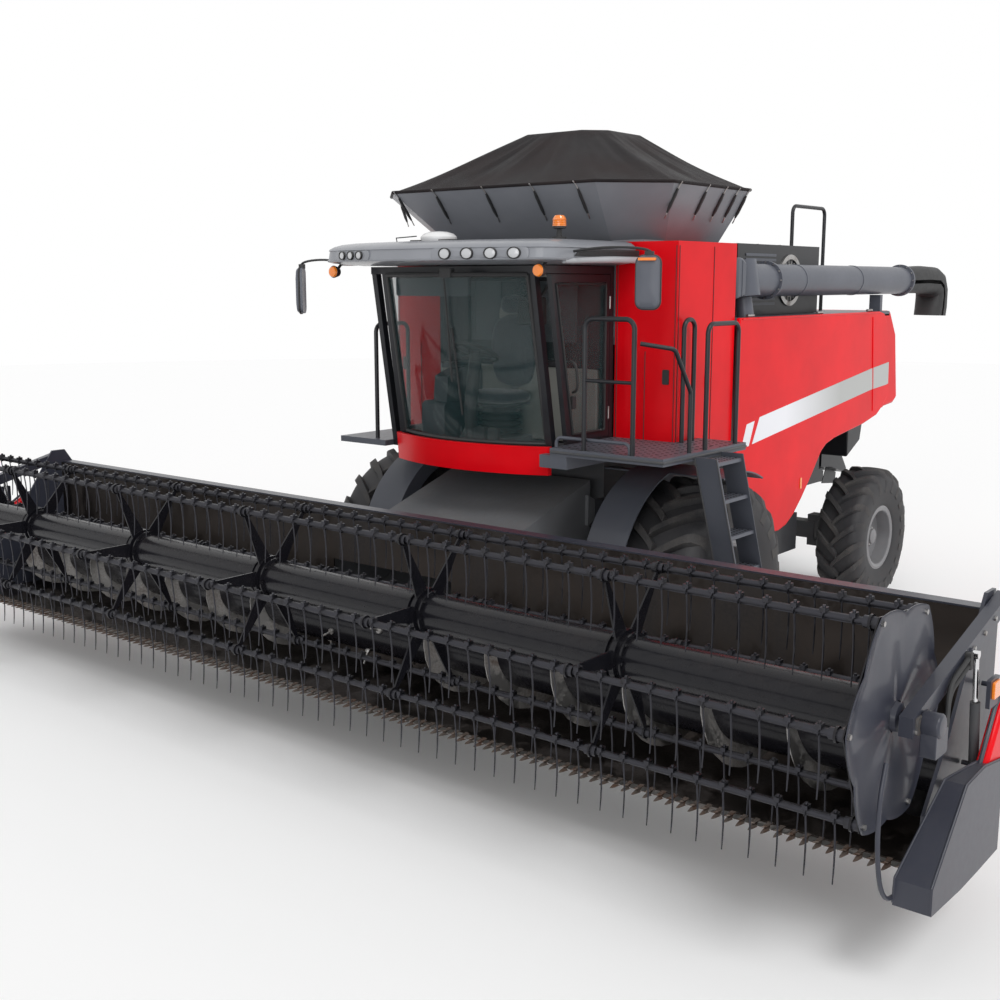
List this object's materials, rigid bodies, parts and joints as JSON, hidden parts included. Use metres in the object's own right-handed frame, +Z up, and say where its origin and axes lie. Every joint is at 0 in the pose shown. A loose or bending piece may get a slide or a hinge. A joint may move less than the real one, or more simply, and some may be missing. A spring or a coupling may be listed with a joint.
{
  "type": "combine harvester",
  "caption": "Self-propelled combine harvester with a wide grain header, feathering tined reel, glazed cab, covered grain tank and folded unloading auger",
  "frame": {"origin": "on the ground at the middle of the machine's overall length and width", "axes": "+X is the machine's left, +Y its rear, +Z up"},
  "size_m": [9.7, 9.7269, 4.74],
  "materials": {
    "red_paint": "gloss red machine paint",
    "slate_paint": "satin blue-grey paint",
    "black_paint": "satin black paint",
    "silver_panel": "silver-grey moulded panel",
    "tyre_rubber": "lugged farm tyre",
    "rim_paint": "light grey painted rim",
    "worn_steel": "worn bare sheet steel",
    "rod_chrome": "hard chrome rod",
    "cover_cloth": "dark coated tarpaulin",
    "tinted_glass": "tinted cab glass",
    "black_rubber": "black moulded rubber",
    "seat_cloth": "dark seat cloth",
    "cast_grey": "painted casting"
  },
  "bodies": {
    "machine": {"front_axle": "cast_grey", "rear_axle": "cast_grey", "main_frame": "slate_paint", "threshing_body": "slate_paint", "engine": "cast_grey", "engine_hood": "slate_paint", "service_deck": "slate_paint", "grain_tank": "slate_paint", "tank_extension": "slate_paint", "tank_cover": "cover_cloth", "cab_frame": "black_paint", "cab_glass": "tinted_glass", "cab_roof": "silver_panel", "bumper_panel": "red_paint", "cab_controls": "black_rubber", "seat_cushions": "seat_cloth", "side_cabinets": "red_paint", "platform": "black_paint", "handrails": "black_paint", "ladder": "slate_paint", "mirrors": "black_rubber", "front_fenders": "slate_paint", "rear_hood": "red_paint", "straw_chopper": "slate_paint"},
    "front_wheel_left": {"front_tyre_left": "tyre_rubber", "front_rim_left": "rim_paint"},
    "front_wheel_right": {"front_tyre_right": "tyre_rubber", "front_rim_right": "rim_paint"},
    "knuckle_left": {"steering_knuckle_left": "cast_grey"},
    "knuckle_right": {"steering_knuckle_right": "cast_grey"},
    "tie_rod": {"tie_rod": "black_paint"},
    "rear_wheel_left": {"rear_tyre_left": "tyre_rubber", "rear_rim_left": "rim_paint"},
    "rear_wheel_right": {"rear_tyre_right": "tyre_rubber", "rear_rim_right": "rim_paint"},
    "feeder": {"feeder_house": "slate_paint", "header_frame": "slate_paint", "header_table": "worn_steel", "header_ends": "slate_paint", "dividers": "slate_paint", "knife_guards": "worn_steel"},
    "lift_barrels": {"lift_barrels": "black_paint"},
    "lift_rods": {"lift_rods": "rod_chrome"},
    "cross_auger": {"cross_auger": "worn_steel"},
    "reel_carrier": {"reel_arms": "slate_paint"},
    "reel_barrels": {"reel_barrels": "black_paint"},
    "reel_rods": {"reel_rods": "rod_chrome"},
    "reel": {"reel_core": "black_paint"},
    "unloader": {"auger_tube": "slate_paint", "auger_spout": "black_rubber"},
    "door": {"cab_door": "black_paint", "door_glass": "tinted_glass"},
    "left_panel": {"side_panel_left": "red_paint"},
    "right_panel": {"side_panel_right": "red_paint"},
    "bat_1": {"reel_bat_1": "black_paint"},
    "bat_2": {"reel_bat_2": "black_paint"},
    "bat_3": {"reel_bat_3": "black_paint"},
    "bat_4": {"reel_bat_4": "black_paint"},
    "bat_5": {"reel_bat_5": "black_paint"},
    "bat_6": {"reel_bat_6": "black_paint"}
  },
  "joints": [
    {"name": "front_wheel_left_spin", "type": "hinge", "parent": "machine", "child": "front_wheel_left", "pos_m": [1.56, -0.9665, 0.9], "axis": [1, 0, 0], "continuous": true},
    {"name": "steer_left", "type": "hinge", "parent": "machine", "child": "knuckle_left", "pos_m": [1.13, 2.6735, 0.735], "axis": [0, 0, 1], "range_deg": [-35, 35]},
    {"name": "rear_wheel_left_spin", "type": "hinge", "parent": "knuckle_left", "child": "rear_wheel_left", "pos_m": [1.49, 2.6735, 0.735], "axis": [1, 0, 0], "continuous": true},
    {"name": "front_wheel_right_spin", "type": "hinge", "parent": "machine", "child": "front_wheel_right", "pos_m": [-1.56, -0.9665, 0.9], "axis": [1, 0, 0], "continuous": true},
    {"name": "steer_right", "type": "hinge", "parent": "machine", "child": "knuckle_right", "pos_m": [-1.13, 2.6735, 0.735], "axis": [0, 0, 1], "range_deg": [-35, 35]},
    {"name": "rear_wheel_right_spin", "type": "hinge", "parent": "knuckle_right", "child": "rear_wheel_right", "pos_m": [-1.49, 2.6735, 0.735], "axis": [1, 0, 0], "continuous": true},
    {"name": "tie_rod_pivot", "type": "hinge", "parent": "knuckle_left", "child": "tie_rod", "pos_m": [1.13, 2.9335, 0.743], "axis": [0, 0, 1], "range_deg": [-35.5, 35.5]},
    {"name": "feeder_lift", "type": "hinge", "parent": "machine", "child": "feeder", "pos_m": [0, -1.2965, 1.5], "axis": [-1, 0, 0], "range_deg": [-6, 18]},
    {"name": "lift_barrel_tilt", "type": "hinge", "parent": "machine", "child": "lift_barrels", "pos_m": [0, -1.2565, 0.8], "axis": [-1, 0, 0], "range_deg": [-6.24, 17.71]},
    {"name": "lift_rod_slide", "type": "slide", "parent": "lift_barrels", "child": "lift_rods", "axis": [0, -0.9966, -0.0824], "range_m": [-0.0779, 0.2238]},
    {"name": "cross_auger_spin", "type": "hinge", "parent": "feeder", "child": "cross_auger", "pos_m": [0, -3.3865, 0.79], "axis": [1, 0, 0], "continuous": true},
    {"name": "reel_lift", "type": "hinge", "parent": "feeder", "child": "reel_carrier", "pos_m": [0, -3.0665, 1.69], "axis": [-1, 0, 0], "range_deg": [0, 30]},
    {"name": "reel_barrel_tilt", "type": "hinge", "parent": "feeder", "child": "reel_barrels", "pos_m": [0, -3.5265, 0.75], "axis": [-1, 0, 0], "range_deg": [-0.5, 0.96]},
    {"name": "reel_rod_slide", "type": "slide", "parent": "reel_barrels", "child": "reel_rods", "axis": [0, -0.1146, 0.9934], "range_m": [-0.005, 0.3024]},
    {"name": "reel_spin", "type": "hinge", "parent": "reel_carrier", "child": "reel", "pos_m": [0, -4.2665, 1.343], "axis": [1, 0, 0], "continuous": true},
    {"name": "bat_1_turn", "type": "hinge", "parent": "reel", "child": "bat_1", "pos_m": [0, -3.93734, 1.79605], "axis": [1, 0, 0], "continuous": true},
    {"name": "bat_2_turn", "type": "hinge", "parent": "reel", "child": "bat_2", "pos_m": [0, -4.49427, 1.85458], "axis": [1, 0, 0], "continuous": true},
    {"name": "bat_3_turn", "type": "hinge", "parent": "reel", "child": "bat_3", "pos_m": [0, -4.82343, 1.40154], "axis": [1, 0, 0], "continuous": true},
    {"name": "bat_4_turn", "type": "hinge", "parent": "reel", "child": "bat_4", "pos_m": [0, -4.59566, 0.88995], "axis": [1, 0, 0], "continuous": true},
    {"name": "bat_5_turn", "type": "hinge", "parent": "reel", "child": "bat_5", "pos_m": [0, -4.03873, 0.83142], "axis": [1, 0, 0], "continuous": true},
    {"name": "bat_6_turn", "type": "hinge", "parent": "reel", "child": "bat_6", "pos_m": [0, -3.70957, 1.28446], "axis": [1, 0, 0], "continuous": true},
    {"name": "unloader_swing", "type": "hinge", "parent": "machine", "child": "unloader", "pos_m": [1.38, -0.0165, 3.43], "axis": [0.1736, 0, -0.9848], "range_deg": [0, 100]},
    {"name": "door_swing", "type": "hinge", "parent": "machine", "child": "door", "pos_m": [0.93, -1.3925, 2.8], "axis": [0, 0, 1], "range_deg": [0, 80]},
    {"name": "left_panel_lift", "type": "hinge", "parent": "machine", "child": "left_panel", "pos_m": [1.515, 1.4335, 3.125], "axis": [0, -1, 0], "range_deg": [0, 75]},
    {"name": "right_panel_lift", "type": "hinge", "parent": "machine", "child": "right_panel", "pos_m": [-1.515, 1.4335, 3.125], "axis": [0, 1, 0], "range_deg": [0, 75]}
  ],
  "couplings": [
    {"joint": "steer_right", "follows": "steer_left", "ratio": 1},
    {"joint": "tie_rod_pivot", "follows": "steer_left", "ratio": -1},
    {"joint": "lift_barrel_tilt", "follows": "feeder_lift", "ratio": 0.95619},
    {"joint": "lift_rod_slide", "follows": "feeder_lift", "m_per_rad": 0.69649},
    {"joint": "reel_barrel_tilt", "follows": "reel_lift", "ratio": 0.01541},
    {"joint": "reel_rod_slide", "follows": "reel_lift", "m_per_rad": 0.56801},
    {"joint": "bat_1_turn", "follows": "reel_spin", "ratio": -1},
    {"joint": "bat_2_turn", "follows": "reel_spin", "ratio": -1},
    {"joint": "bat_3_turn", "follows": "reel_spin", "ratio": -1},
    {"joint": "bat_4_turn", "follows": "reel_spin", "ratio": -1},
    {"joint": "bat_5_turn", "follows": "reel_spin", "ratio": -1},
    {"joint": "bat_6_turn", "follows": "reel_spin", "ratio": -1}
  ]
}
